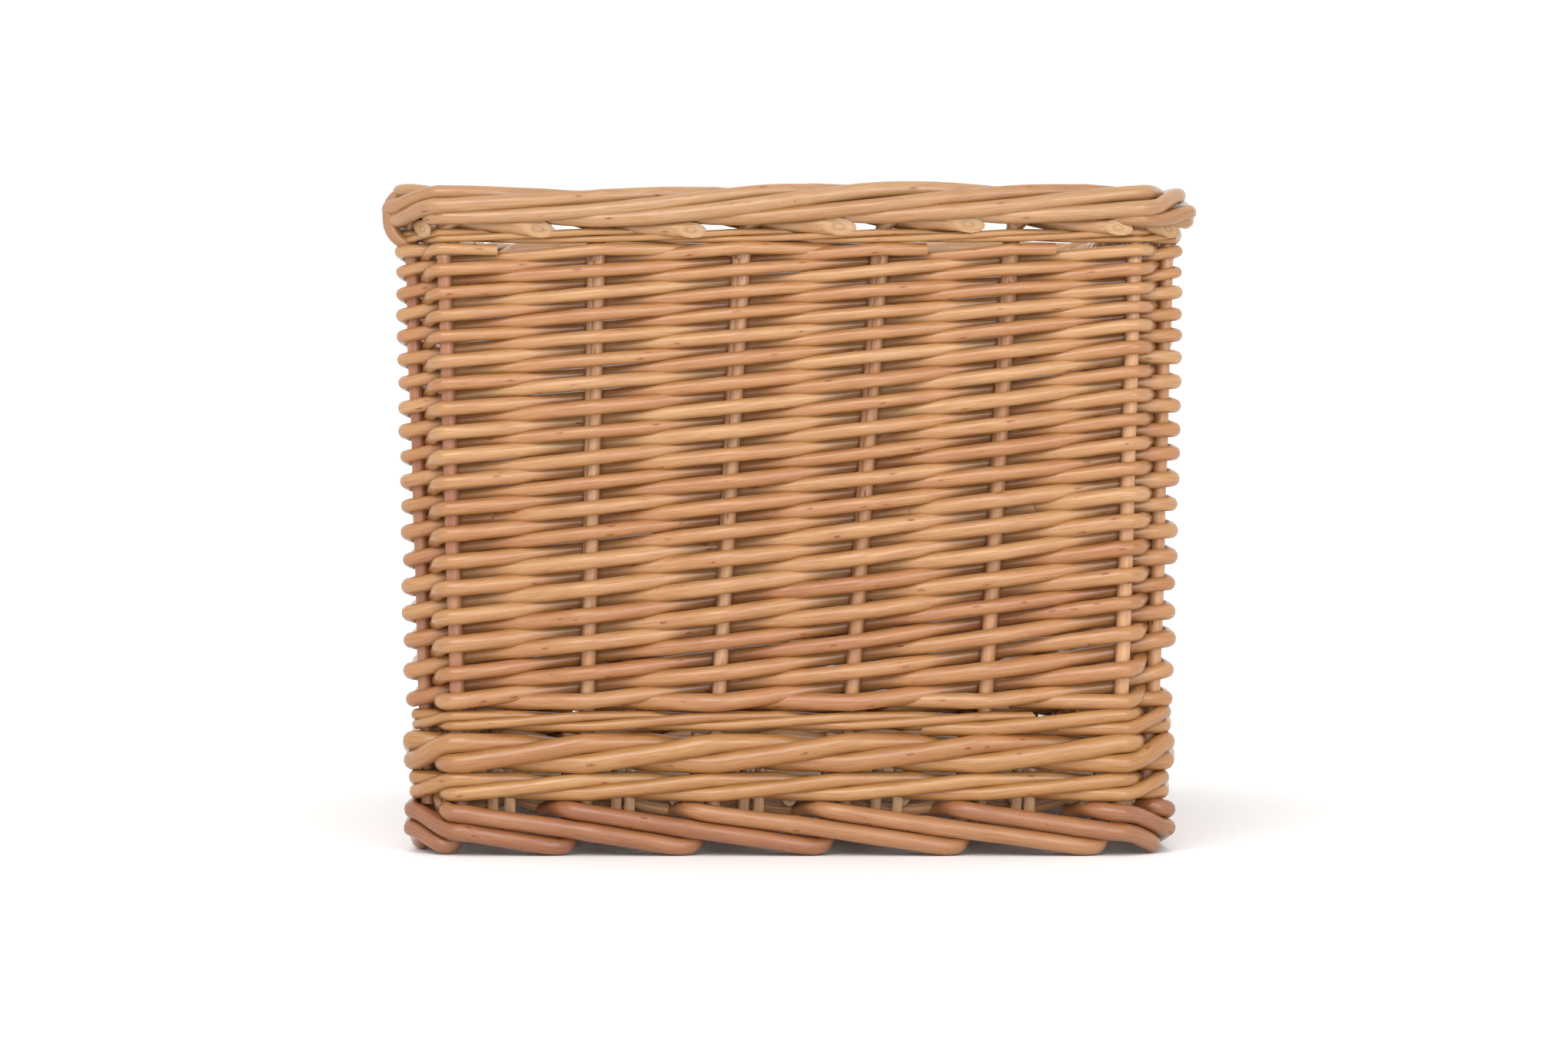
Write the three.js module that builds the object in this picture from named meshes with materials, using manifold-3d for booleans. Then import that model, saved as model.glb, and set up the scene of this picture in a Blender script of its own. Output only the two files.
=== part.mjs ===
// A rectangular wicker log basket: willow stakes stand round a woven base, and bands of
// weaving are worked round them from a foot border up to a thick rod border at the rim.
// Millimetres, +Z up. The origin is on the floor under the middle of the basket, the short
// ends face -Y and +Y, and the long sides face -X and +X.
import * as THREE from "three";
import { mergeVertices } from "three/addons/utils/BufferGeometryUtils.js";
import Module from "manifold-3d";

const wasm = await Module();
wasm.setup();

// ---- Driving sizes ----------------------------------------------------------------------

const rimWidth = 400; // across the rim border, outside
const rimLength = 500; // along the rim border, outside
const height = 328; // floor to the top of the rim border
const wallLean = 9; // how far each wall leans out between the floor and the rim
const cornerLeg = 17; // each corner is a chamfer with two legs of this length

const stakeDiameter = 6.8;
const endStakes = 6; // on each short end
const sideStakes = 8; // on each long side
const stakeDriftLow = -7; // the weaving drags each wall's middle stakes along the wall:
const stakeDriftHigh = 13; // back a little at the floor, and on at the rim
const stakeEmbed = 5; // solid border left beyond each end of a stake

const footHeight = 24;
const footRod = 9.4;
const lowWaleHeight = 14;
const lowWaleRod = 7;
const middleWaleHeight = 19;
const middleWaleRod = 8.6;
const highWaleHeight = 12;
const highWaleRod = 6.2;
const lowerRandHeight = 88;
const lowerRandRod = 8;
const upperRandRod = 6.6;
const topWaleHeight = 8;
const topWaleRod = 6;
const rimHeight = 21;
const rimOuterRods = 10; // rods lying outside the stakes in the rim border
const rimInnerRods = 8;

const baseGap = 3; // daylight between the foot border and the lowest wale
const baseSeat = 3; // how far the base is let down into the foot border
const baseThickness = 12;
const baseCover = 2.5; // how deep the sticks lie in the weave, from above and from below
const baseSticks = 7;

const clearance = 0.3; // between any two pieces that touch
const rodSides = 8;

// ---- Values worked out from them ----------------------------------------------------------

const stakeRadius = stakeDiameter / 2;
const rimOutside = stakeRadius + rimOuterRods;
const leanPerHeight = wallLean / height;
const floorHalfWidth = rimWidth / 2 - rimOutside - wallLean; // to the stakes' centres
const floorHalfLength = rimLength / 2 - rimOutside - wallLean;

const baseUnderside = footHeight - baseSeat;
const baseStickDiameter = baseThickness - 2 * baseCover;
const lowWaleBottom = footHeight + baseGap;
const middleWaleBottom = lowWaleBottom + lowWaleHeight;
const highWaleBottom = middleWaleBottom + middleWaleHeight;
const lowerRandBottom = highWaleBottom + highWaleHeight;
const upperRandBottom = lowerRandBottom + lowerRandHeight;
const rimBottom = height - rimHeight;
const topWaleBottom = rimBottom - topWaleHeight;

// ---- Solids -------------------------------------------------------------------------------

// A closed geometry as a solid that can be joined and cut.
function solidOf(geometry) {
  const bare = geometry.index ? geometry.toNonIndexed() : geometry.clone();
  bare.deleteAttribute("normal");
  bare.deleteAttribute("uv");
  const merged = mergeVertices(bare, 1e-4);
  return new wasm.Manifold(
    new wasm.Mesh({
      numProp: 3,
      vertProperties: merged.attributes.position.array,
      triVerts: new Uint32Array(merged.index.array),
    }),
  );
}

function geometryOf(solid) {
  const mesh = solid.getMesh();
  const geometry = new THREE.BufferGeometry();
  geometry.setAttribute("position", new THREE.BufferAttribute(mesh.vertProperties, 3));
  geometry.setIndex(new THREE.BufferAttribute(mesh.triVerts, 1));
  geometry.computeVertexNormals();
  return geometry;
}

// A straight rod between two points.
function rodBetween(start, end, radius) {
  const along = new THREE.Vector3().subVectors(end, start);
  const rod = new THREE.CylinderGeometry(radius, radius, along.length(), rodSides);
  const turn = new THREE.Quaternion();
  turn.setFromUnitVectors(new THREE.Vector3(0, 1, 0), along.clone().normalize());
  rod.applyQuaternion(turn);
  const middle = new THREE.Vector3().addVectors(start, end).multiplyScalar(0.5);
  rod.translate(middle.x, middle.y, middle.z);
  return rod;
}

// ---- The basket's plan --------------------------------------------------------------------

// The plan at the floor: a rectangle with chamfered corners, moved out from the line of the
// stakes' centres. Moving a chamfer out by its own thickness lengthens its legs a little.
function planPoints(outward) {
  const halfWidth = floorHalfWidth + outward;
  const halfLength = floorHalfLength + outward;
  const leg = cornerLeg + outward * (2 - Math.SQRT2);
  return [
    new THREE.Vector2(-halfWidth + leg, -halfLength),
    new THREE.Vector2(halfWidth - leg, -halfLength),
    new THREE.Vector2(halfWidth, -halfLength + leg),
    new THREE.Vector2(halfWidth, halfLength - leg),
    new THREE.Vector2(halfWidth - leg, halfLength),
    new THREE.Vector2(-halfWidth + leg, halfLength),
    new THREE.Vector2(-halfWidth, halfLength - leg),
    new THREE.Vector2(-halfWidth, -halfLength + leg),
  ];
}

// Every wall leans out, so each point moves away from the middle as it gets higher.
function leanOut(geometry) {
  const position = geometry.attributes.position;
  for (let i = 0; i < position.count; i += 1) {
    const out = leanPerHeight * position.getZ(i);
    position.setX(i, position.getX(i) + Math.sign(position.getX(i)) * out);
    position.setY(i, position.getY(i) + Math.sign(position.getY(i)) * out);
  }
  return geometry;
}

function extrudePlan(shape, bottom, top, rounding) {
  const geometry = new THREE.ExtrudeGeometry(shape, {
    depth: top - bottom - 2 * rounding,
    bevelThickness: rounding,
    bevelSize: rounding,
    bevelOffset: -rounding,
    bevelSegments: 2,
  });
  geometry.translate(0, 0, bottom + rounding);
  return leanOut(geometry);
}

// One band of weaving: it reaches the given distances outside and inside the stakes' centres.
function bandSolid(bottom, top, outside, inside, rounding) {
  const shape = new THREE.Shape(planPoints(outside));
  shape.holes.push(new THREE.Path(planPoints(-inside)));
  return solidOf(extrudePlan(shape, bottom, top, rounding));
}

// ---- Stakes -------------------------------------------------------------------------------

// The walls anticlockwise from above, each from one corner stake to the other. The two
// numbers are the wall's corners in planPoints.
const walls = [
  { name: "front", stakes: endStakes, corners: [0, 1] },
  { name: "right", stakes: sideStakes, corners: [2, 3] },
  { name: "back", stakes: endStakes, corners: [4, 5] },
  { name: "left", stakes: sideStakes, corners: [6, 7] },
];

// The centre of a wall's stake at a height: evenly spaced, and dragged along the wall most
// in the middle of it.
function stakeCentre(wall, index, z) {
  const out = leanPerHeight * z;
  const [start, end] = wall.corners.map((corner) => {
    const point = planPoints(0)[corner];
    return new THREE.Vector3(
      point.x + Math.sign(point.x) * out,
      point.y + Math.sign(point.y) * out,
      z,
    );
  });
  const along = new THREE.Vector3().subVectors(end, start).normalize();
  const share = index / (wall.stakes - 1);
  const middleness = 1 - (2 * share - 1) ** 2;
  const drift = THREE.MathUtils.lerp(stakeDriftLow, stakeDriftHigh, z / height);
  return start.lerp(end, share).addScaledVector(along, drift * middleness);
}

function stakeRod(wall, index, extra) {
  const foot = stakeCentre(wall, index, stakeEmbed - extra);
  const tip = stakeCentre(wall, index, height - stakeEmbed + extra);
  return rodBetween(foot, tip, stakeRadius + extra);
}

// ---- Base ---------------------------------------------------------------------------------

const baseOutside = -(stakeRadius + clearance);
const baseRounding = 3;

// The woven panel before its sticks are let in. The extra grows it all round.
function baseSlab(extra) {
  const shape = new THREE.Shape(planPoints(baseOutside + extra));
  const bottom = baseUnderside - extra;
  const top = baseUnderside + baseThickness + extra;
  return solidOf(extrudePlan(shape, bottom, top, baseRounding));
}

// A base stick runs the length of the basket through the middle of the panel.
function baseStickRod(index, extra) {
  const z = baseUnderside + baseThickness / 2;
  const reach = floorHalfWidth + baseOutside - baseStickDiameter;
  const x = THREE.MathUtils.lerp(-reach, reach, index / (baseSticks - 1));
  const start = new THREE.Vector3(x, -floorHalfLength, z);
  const end = new THREE.Vector3(x, floorHalfLength, z);
  return solidOf(rodBetween(start, end, baseStickDiameter / 2 + extra));
}

// ---- Finishes -----------------------------------------------------------------------------

function willow(colour, roughness) {
  return new THREE.MeshStandardMaterial({ color: colour, roughness, metalness: 0 });
}

const stakeWillow = willow(0xc18c63, 0.5);
const randWillow = willow(0xc58c5f, 0.45);
const waleWillow = willow(0xcb9265, 0.45);
const rimWillow = willow(0xd3a277, 0.42);
const footWillow = willow(0xb97c56, 0.5);
const baseWillow = willow(0xc99a6c, 0.6);

// ---- Assembly -----------------------------------------------------------------------------

const basket = new THREE.Group();

function addPiece(name, geometry, material) {
  const piece = new THREE.Mesh(geometry, material);
  piece.name = name;
  basket.add(piece);
}

let sockets = null; // every stake's hole, as one solid
for (const wall of walls) {
  for (let index = 0; index < wall.stakes; index += 1) {
    addPiece(`${wall.name}_stake_${index + 1}`, stakeRod(wall, index, 0), stakeWillow);
    const socket = solidOf(stakeRod(wall, index, clearance));
    sockets = sockets ? sockets.add(socket) : socket;
  }
}

const wholeSlab = baseSlab(0);
let basePanel = wholeSlab;
for (let index = 0; index < baseSticks; index += 1) {
  const stick = baseStickRod(index, 0).intersect(wholeSlab);
  addPiece(`base_stick_${index + 1}`, geometryOf(stick), baseWillow);
  basePanel = basePanel.subtract(baseStickRod(index, clearance));
}
addPiece("base_weave", geometryOf(basePanel), baseWillow);

// The lowest bands clasp the edge of the base, so its shape is cut out of them too.
const cutters = sockets.add(baseSlab(clearance));

function addBand(name, bottom, top, outerRods, innerRods, rounding, material) {
  const outside = stakeRadius + outerRods;
  const inside = stakeRadius + innerRods;
  const band = bandSolid(bottom, top - clearance, outside, inside, rounding);
  addPiece(name, geometryOf(band.subtract(cutters)), material);
}

const bandRounding = 2.5;
const rimRounding = 6;

function addWoundBand(name, bottom, top, rod, material) {
  addBand(name, bottom, top, rod, rod, bandRounding, material);
}

addWoundBand("foot_border", 0, footHeight, footRod, footWillow);
addWoundBand("low_wale", lowWaleBottom, middleWaleBottom, lowWaleRod, waleWillow);
addWoundBand("middle_wale", middleWaleBottom, highWaleBottom, middleWaleRod, waleWillow);
addWoundBand("high_wale", highWaleBottom, lowerRandBottom, highWaleRod, waleWillow);
addWoundBand("lower_rand", lowerRandBottom, upperRandBottom, lowerRandRod, randWillow);
addWoundBand("upper_rand", upperRandBottom, topWaleBottom, upperRandRod, randWillow);
addWoundBand("top_wale", topWaleBottom, rimBottom, topWaleRod, waleWillow);
addBand("rim_border", rimBottom, height + clearance, rimOuterRods, rimInnerRods, rimRounding, rimWillow);

export default basket;
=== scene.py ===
# %% [markdown]
# # A wicker log basket, woven rod by rod
# The basket is square work: a woven base, stakes standing round it, bands of weaving worked round
# the stakes, a foot border under them and a thick rod border on top. Everything is peeled willow,
# boiled to a warm tan and varnished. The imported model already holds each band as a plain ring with
# the right size and place. This script reads those sizes and weaves the real rods in their place.

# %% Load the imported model
import math
import random

import bpy
import numpy as np
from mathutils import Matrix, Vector, noise


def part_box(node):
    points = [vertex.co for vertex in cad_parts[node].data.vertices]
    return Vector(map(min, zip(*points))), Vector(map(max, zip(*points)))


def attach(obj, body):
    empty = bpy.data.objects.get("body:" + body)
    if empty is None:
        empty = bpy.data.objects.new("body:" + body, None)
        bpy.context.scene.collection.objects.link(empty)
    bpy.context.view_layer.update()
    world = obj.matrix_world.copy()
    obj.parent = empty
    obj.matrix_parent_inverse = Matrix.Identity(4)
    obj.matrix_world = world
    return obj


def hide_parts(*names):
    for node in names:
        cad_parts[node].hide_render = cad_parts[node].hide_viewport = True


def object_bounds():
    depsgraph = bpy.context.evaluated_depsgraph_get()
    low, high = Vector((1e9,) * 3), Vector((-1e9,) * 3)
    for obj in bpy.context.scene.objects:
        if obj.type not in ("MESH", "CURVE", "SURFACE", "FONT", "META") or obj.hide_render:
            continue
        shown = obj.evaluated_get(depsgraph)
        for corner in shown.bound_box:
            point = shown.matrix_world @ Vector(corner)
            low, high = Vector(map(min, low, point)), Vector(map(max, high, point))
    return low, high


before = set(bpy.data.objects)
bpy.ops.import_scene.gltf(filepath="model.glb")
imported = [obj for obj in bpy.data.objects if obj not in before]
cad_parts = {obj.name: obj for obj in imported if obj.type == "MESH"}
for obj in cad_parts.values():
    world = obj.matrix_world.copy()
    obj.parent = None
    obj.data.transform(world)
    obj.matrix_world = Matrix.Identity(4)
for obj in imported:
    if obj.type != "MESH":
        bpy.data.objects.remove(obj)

cad_low, cad_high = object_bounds()
bpy.ops.object.select_all(action="DESELECT")
MM = 0.001
basket_size = cad_high - cad_low
print("basket, mm:", [round(side / MM) for side in basket_size])

# %% [markdown]
# ## The camera
# The basket is seen square on to one short end, from a little over half its height and from far
# enough away that the far rim hides behind the near one. An orthographic camera would take away
# the last of the depth, and a long lens from two metres keeps a little of it in a calm, nearly flat
# view. The eye's height comes from the basket's own size.

# %% Place the camera
CAMERA_TO_BASKET = 2.0
LENS_MM = 94.7
SENSOR_MM = 36
EYE_SHARE = 0.555        # the eye's height, as a share of the basket's
AIM_DOWN_DEGREES = 0.54
AIM_LEFT = 2.6 * MM      # the basket stands a touch to the right of the middle

camera_data = bpy.data.cameras.new("camera")
camera_data.lens = LENS_MM
camera_data.sensor_width = SENSOR_MM
camera = bpy.data.objects.new("camera", camera_data)
bpy.context.scene.collection.objects.link(camera)
camera.location = (-AIM_LEFT, cad_low.y - CAMERA_TO_BASKET, basket_size.z * EYE_SHARE)
camera.rotation_euler = (math.radians(90 - AIM_DOWN_DEGREES), 0, 0)
bpy.context.scene.camera = camera
print("camera at", [round(value, 3) for value in camera.location])

# %% [markdown]
# ## Measuring the ring of stakes
# All the weaving follows the stakes, so they are measured first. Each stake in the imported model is
# a straight leaning rod, and the middles of its two ends give its centre line. Counting the stakes
# anticlockwise from the near left corner gives every place on the wall one number: 2.5 is half way
# between the third stake and the fourth. With a distance out from the stakes' centres and a height,
# that number places any point of any rod.

# %% Read the stakes' centre lines
WALLS = ("front", "right", "back", "left")

stake_nodes = []
wall_shares = []         # how far along its wall each stake stands, from 0 to 1
stake_walls = []
for wall in WALLS:
    count = sum(name.startswith(wall + "_stake_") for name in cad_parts)
    stake_nodes += [f"{wall}_stake_{number + 1}" for number in range(count)]
    wall_shares += [number / (count - 1) for number in range(count)]
    stake_walls += [wall] * count
STAKES = len(stake_nodes)


def stake_ends(node):
    """The middles of a packed stake's lower and upper ends."""
    points = np.array([vertex.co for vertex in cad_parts[node].data.vertices])
    upper = points[:, 2] > points[:, 2].mean()
    return Vector(points[~upper].mean(0)), Vector(points[upper].mean(0))


def stake_radius(node, line):
    """The furthest that a packed stake's corners are from its centre line."""
    low, high = line
    along = (high - low).normalized()
    corners = [vertex.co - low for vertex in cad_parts[node].data.vertices]
    return max((corner - corner.dot(along) * along).length for corner in corners)


stake_lines = [stake_ends(node) for node in stake_nodes]
STAKE_RADIUS = stake_radius(stake_nodes[0], stake_lines[0])
MIDDLE_HEIGHT = basket_size.z / 2


def stake_centre(number, height):
    """The point of a stake's centre line at a height."""
    low, high = stake_lines[number % STAKES]
    return low.lerp(high, (height - low.z) / (high.z - low.z))


leaning_out = stake_lines[0][0].x - stake_lines[0][1].x
print(STAKES, "stakes,", round(2 * STAKE_RADIUS / MM, 2), "mm thick")
print("they lean out", round(leaning_out / MM, 1), "mm")

# %% Find the way out from the wall at any place
CORNER_REACH = 3.5 * MM  # a rod's kink round a corner stake takes this much either side


def gap_and_outward(number):
    """The distance to the next stake, and the direction straight out of the wall between them."""
    step = stake_centre(number + 1, MIDDLE_HEIGHT) - stake_centre(number, MIDDLE_HEIGHT)
    return step.length, Vector((step.y, -step.x, 0)).normalized()


gaps, gap_outward = zip(*[gap_and_outward(number) for number in range(STAKES)])


def stake_outward(number):
    """Straight out at a stake: between the two walls' directions at a corner, and a little longer
    there, so that a rod keeps its distance from both walls."""
    before = gap_outward[(number - 1) % STAKES]
    after = gap_outward[number % STAKES]
    between = (before + after).normalized()
    return between / between.dot(after)


STRAIGHT_LENGTH = 1.01   # a direction out that is longer than this is at a corner

at_stake_outward = [stake_outward(number) for number in range(STAKES)]
is_corner = [direction.length > STRAIGHT_LENGTH for direction in at_stake_outward]


def outward(place):
    """The direction straight out of the wall at a place, turning evenly round a corner stake."""
    number = math.floor(place)
    share = place - number
    here = number % STAKES
    gap = gaps[here]
    nearer = (number + 1) % STAKES if share > 0.5 else here
    distance = gap * min(share, 1 - share)
    if not is_corner[nearer] or distance >= CORNER_REACH:
        return gap_outward[here]
    return at_stake_outward[nearer].lerp(gap_outward[here], distance / CORNER_REACH)


def wall_point(place, out, height):
    """The point at a place along the ring of stakes, a distance out from them, at a height."""
    number = math.floor(place)
    before = stake_centre(number, height)
    after = stake_centre(number + 1, height)
    return before.lerp(after, place - number) + outward(place) * out


gap_range = [round(gap / MM) for gap in (min(gaps), max(gaps))]
print(sum(is_corner), "corner stakes, with gaps from", gap_range[0], "to", gap_range[1], "mm")

# %% Find places beside a stake, and a rod's rings
HAIR = 1e-4              # keeps a place at a stake in the gap that follows it


def beside_stake(number, sideways):
    """The place that is a distance along the wall from a stake: behind it if less than 0."""
    gap = gaps[number] if sideways > 0 else gaps[number - 1]
    return number + HAIR + sideways / gap


CORNER_CRUSH = 1.5 * MM  # a rod flattens and bites where it folds round a corner stake
CRUSH_REACH = 0.25       # of the way to the next stake


def corner_crush(place):
    """How much closer to the stakes' centres a rod is pulled at a place."""
    nearest = round(place)
    if not is_corner[nearest % STAKES]:
        return 0
    return CORNER_CRUSH * max(0, 1 - abs(place - nearest) / CRUSH_REACH)


CLOSEST_STEP = 0.8 * MM  # two rings are at least about this far apart
STRAIGHT_STEP = 5 * MM   # and about this far where the rod is straight
CORNER_STEPS = [step * MM for step in (-7, -5, -3.5, -2.3, -1.1, 0, 1.1, 2.3, 3.5, 5, 7)]


def stations(start, end):
    """Places to put a rod's rings, close together where it kinks round a corner stake."""
    places = {start, end}
    for number in range(math.floor(start) - 1, math.ceil(end) + 1):
        here = number % STAKES
        rings = max(2, round(gaps[here] / STRAIGHT_STEP))
        places.update(number + ring / rings for ring in range(rings))
        if is_corner[here]:
            for step in CORNER_STEPS:
                gap = gaps[here] if step > 0 else gaps[here - 1]
                places.add(number + step / gap)
    inside = sorted(place for place in places if start <= place <= end)
    nearest = CLOSEST_STEP / max(gaps)
    kept = [inside[0]]
    for place in inside[1:]:
        if place - kept[-1] > nearest:
            kept.append(place)
    return kept


print(len(stations(0, 1)), "rings on a rod from a corner stake to the next")

# %% [markdown]
# ## Making one rod
# A willow rod is a long, slightly uneven taper. It could be extruded ring by ring from a circle, but
# a curve with a round bevel and a radius at each point is quicker to shape, and turns into a mesh
# with even rings and a UV map. The map is then rescaled to real length, so that the marks of the
# bark are the same size on every rod, and the faces of the two cut ends are told where the pith is,
# for their rings. The rods of one band are joined into one piece afterwards, as they can't come
# apart on the real basket either.

# %% Shape a rod
ROD_RESOLUTION = 4       # gives twelve sides
ROD_SIDES = 2 * (ROD_RESOLUTION + 2)
FIRST_BUD = (10, 50)     # mm from the butt
BUD_SPACING = (45, 110)  # mm
SWELLING = 0.06          # how much thicker a rod is at a bud
SWELLING_LENGTH = 3.5 * MM
UNEVENNESS = 0.03        # how much a rod's thickness varies besides
UNEVEN_LENGTH = 18 * MM
BEND = 0.1               # how much of the way to the next stake a weaver's bend takes
UP = Vector((0, 0, 1))

dice = random.Random(28)


def woven(values, at):
    """Runs straight between the values that a repeating list holds at whole numbers, as a weaver
    does from stake to stake, and bends evenly round each of them."""
    nearest = round(at)
    before, here, after = (values[(nearest + step) % len(values)] for step in (-1, 0, 1))
    past = at - nearest
    if abs(past) >= BEND:
        return here + (after - here) * past if past > 0 else here - (before - here) * past
    turn = (before + after - 2 * here) / (4 * BEND)
    return here + turn * (past * past + BEND * BEND) + (after - before) / 2 * past


def wander(seed, at, reach, length):
    """A slow, smooth drift to either side, so that no rod is quite straight."""
    return reach * noise.noise(Vector((seed, at / length, 0)))


def path_lengths(path):
    """The distance along a path at each of its points."""
    steps = [0.0] + [(after - before).length for before, after in zip(path, path[1:])]
    return list(np.cumsum(steps))


def taper(path, butt, tip):
    """A rod's radius along a path, from its butt to its tip, with buds and slight unevenness."""
    lengths = path_lengths(path)
    buds = []
    at = dice.uniform(*FIRST_BUD) * MM
    while at < lengths[-1]:
        buds.append(at)
        at += dice.uniform(*BUD_SPACING) * MM
    seed = dice.uniform(0, 100)
    radii = []
    for length in lengths:
        nearest_bud = min((abs(length - bud) for bud in buds), default=math.inf)
        swell = SWELLING * math.exp(-((nearest_bud / SWELLING_LENGTH) ** 2))
        uneven = wander(seed, length, UNEVENNESS, UNEVEN_LENGTH)
        share = length / lengths[-1]
        radii.append((butt + (tip - butt) * share) * (1 + swell + uneven))
    return radii


# %% Turn a rod's curve into a mesh
CAP_POINTS = 2 * ROD_SIDES   # a converted curve's two caps come first among its points
CAP_REACH = 1.2              # a cap's points all lie this near its middle, in radii
RING_DEPTH = 0.01 * MM       # and this near the plane of the end, as its last ring's do
MAP_START = 40               # metres: each rod's marks start at a place of their own


def rod_mesh(path, radii):
    """A rod as a new object: a curve along the path, made a mesh with closed ends."""
    bpy.ops.curve.primitive_nurbs_path_add()
    rod = bpy.context.object
    curve = rod.data
    curve.splines.clear()
    spline = curve.splines.new("POLY")
    spline.points.add(len(path) - 1)
    spline.points.foreach_set("co", [value for point in path for value in (*point, 1.0)])
    spline.points.foreach_set("radius", radii)
    curve.bevel_depth = 1.0
    curve.bevel_resolution = ROD_RESOLUTION
    curve.use_fill_caps = True
    bpy.ops.object.convert(target="MESH")
    return rod


def read_points(mesh):
    """A mesh's points as one array, with a row for each."""
    points = np.empty(len(mesh.vertices) * 3)
    mesh.vertices.foreach_get("co", points)
    return points.reshape(-1, 3)


def near_end(offsets, radius):
    """Which points lie close to the middle of a rod's end."""
    return np.linalg.norm(offsets, axis=1) < radius * CAP_REACH


def mark_end_grain(mesh, points, ends):
    """Tells each corner on a cut end how far across it lies from the pith, in radii."""
    corner_points = np.empty(len(mesh.loops), dtype=np.int32)
    mesh.loops.foreach_get("vertex_index", corner_points)
    end_grain = np.zeros((len(mesh.loops), 3))
    for centre, along, radius, _ in ends:
        across = along.orthogonal().normalized()
        upright = along.cross(across)
        offset = points[corner_points] - np.array(centre)
        here = (corner_points < CAP_POINTS) & near_end(offset, radius)
        end_grain[here, 0] = (offset @ np.array(across))[here] / radius
        end_grain[here, 1] = (offset @ np.array(upright))[here] / radius
        end_grain[here, 2] = 1
    grain = mesh.attributes.new("end_grain", "FLOAT_VECTOR", "CORNER")
    grain.data.foreach_set("vector", end_grain.reshape(-1))


def cut_end(points, centre, along, radius, slope, facing):
    """Slides the last ring along the rod into a slanted cut that faces the given way."""
    offset = points - np.array(centre)
    in_plane = np.abs(offset @ np.array(along)) < RING_DEPTH
    cut = in_plane & near_end(offset, radius)
    slide = -(offset @ np.array(facing)) * slope
    points[cut] += np.outer(slide[cut], np.array(along))


def flatten_ring(ring, width, share):
    """Thins a ring of points to a share of its depth, and keeps its width."""
    middle = ring.mean(0)
    offset = ring - middle
    wide = np.outer(offset @ width, width)
    ring[:] = middle + wide + (offset - wide) * share


def flatten_rod(points, width, share):
    """Flattens a rod ring by ring into a strap, with its width the given way."""
    for ring in points.reshape(-1, ROD_SIDES, 3):
        flatten_ring(ring, np.array(width), share)


def unroll(mesh, path):
    """Scales the UV map along the rod to real length."""
    uv = np.empty(len(mesh.loops) * 2)
    mesh.uv_layers[0].data.foreach_get("uv", uv)
    uv = uv.reshape(-1, 2)
    last = len(path) - 1
    ring = np.clip(np.rint(uv[:, 0] * last).astype(int), 0, last)
    uv[:, 0] = np.array(path_lengths(path))[ring] + dice.uniform(0, MAP_START)
    mesh.uv_layers[0].data.foreach_set("uv", uv.reshape(-1))
    mesh.uv_layers[0].name = "rod"


# %% Make a rod, and join a band's rods
def make_rod(path, radii, tint, start_slope=0, end_slope=0, facing=UP, flatten=None):
    """One rod along a path of points. A cut end's slope is 0 for a square cut, and a slanted cut
    faces the given way. To flatten a rod takes the direction of its width, and its thinness."""
    rod = rod_mesh(path, radii)
    mesh = rod.data
    points = read_points(mesh)
    ends = (
        (path[0], (path[0] - path[1]).normalized(), radii[0], start_slope),
        (path[-1], (path[-1] - path[-2]).normalized(), radii[-1], end_slope),
    )
    mark_end_grain(mesh, points, ends)
    for centre, along, radius, slope in ends:
        if slope:
            cut_end(points, centre, along, radius, slope, facing)
    if flatten:
        flatten_rod(points, *flatten)
    mesh.vertices.foreach_set("co", points.reshape(-1))
    unroll(mesh, path)
    shade = mesh.attributes.new("tint", "FLOAT", "POINT")
    shade.data.foreach_set("value", [tint] * len(mesh.vertices))
    return rod


SHARP_EDGE_DEGREES = 50
WELD = 0.001 * MM


def join_rods(name, rods, material, slot, *nodes):
    """Joins rods into one piece, closes their ends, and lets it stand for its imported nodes."""
    bpy.ops.object.select_all(action="DESELECT")
    for rod in rods:
        rod.select_set(True)
    bpy.context.view_layer.objects.active = rods[0]
    if len(rods) > 1:
        bpy.ops.object.join()
    piece = bpy.context.object
    piece.name = name
    piece.data.name = name
    bpy.ops.object.mode_set(mode="EDIT")
    bpy.ops.mesh.select_all(action="SELECT")
    bpy.ops.mesh.remove_doubles(threshold=WELD)
    bpy.ops.object.mode_set(mode="OBJECT")
    bpy.ops.object.shade_smooth_by_angle(angle=math.radians(SHARP_EDGE_DEGREES))
    piece.data.materials.clear()
    piece.data.materials.append(material)
    piece.select_set(False)
    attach(piece, "root")
    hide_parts(*nodes)
    print(name, len(rods), "rods,", len(piece.data.polygons), "faces")


# %% [markdown]
# ## Buff willow
# Buff willow is boiled with its bark on, which stains the wood from honey to fox brown, and then
# peeled. No two rods come out quite alike, so each rod carries its own tint. The peeled skin has a
# fine grain along the rod, short dark scars where buds were, and here a thin satin varnish that
# lays soft streaks of light along each rod. A picture of the wood wrapped round every rod would
# repeat, so all of it is worked out by patterns that don't. They are worked out on the rod
# straightened back into a cylinder: the angle round it and the distance along it come from the UV
# map, so nothing jumps at the map's seam, and the grain follows every bend.

# %% Colours and a node helper
def linear(hex_colour):
    """An sRGB hex colour as linear values, with alpha."""
    channels = [int(hex_colour[start:start + 2], 16) / 255 for start in (1, 3, 5)]
    return [c / 12.92 if c <= 0.04045 else ((c + 0.055) / 1.055) ** 2.4 for c in channels] + [1.0]


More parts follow.
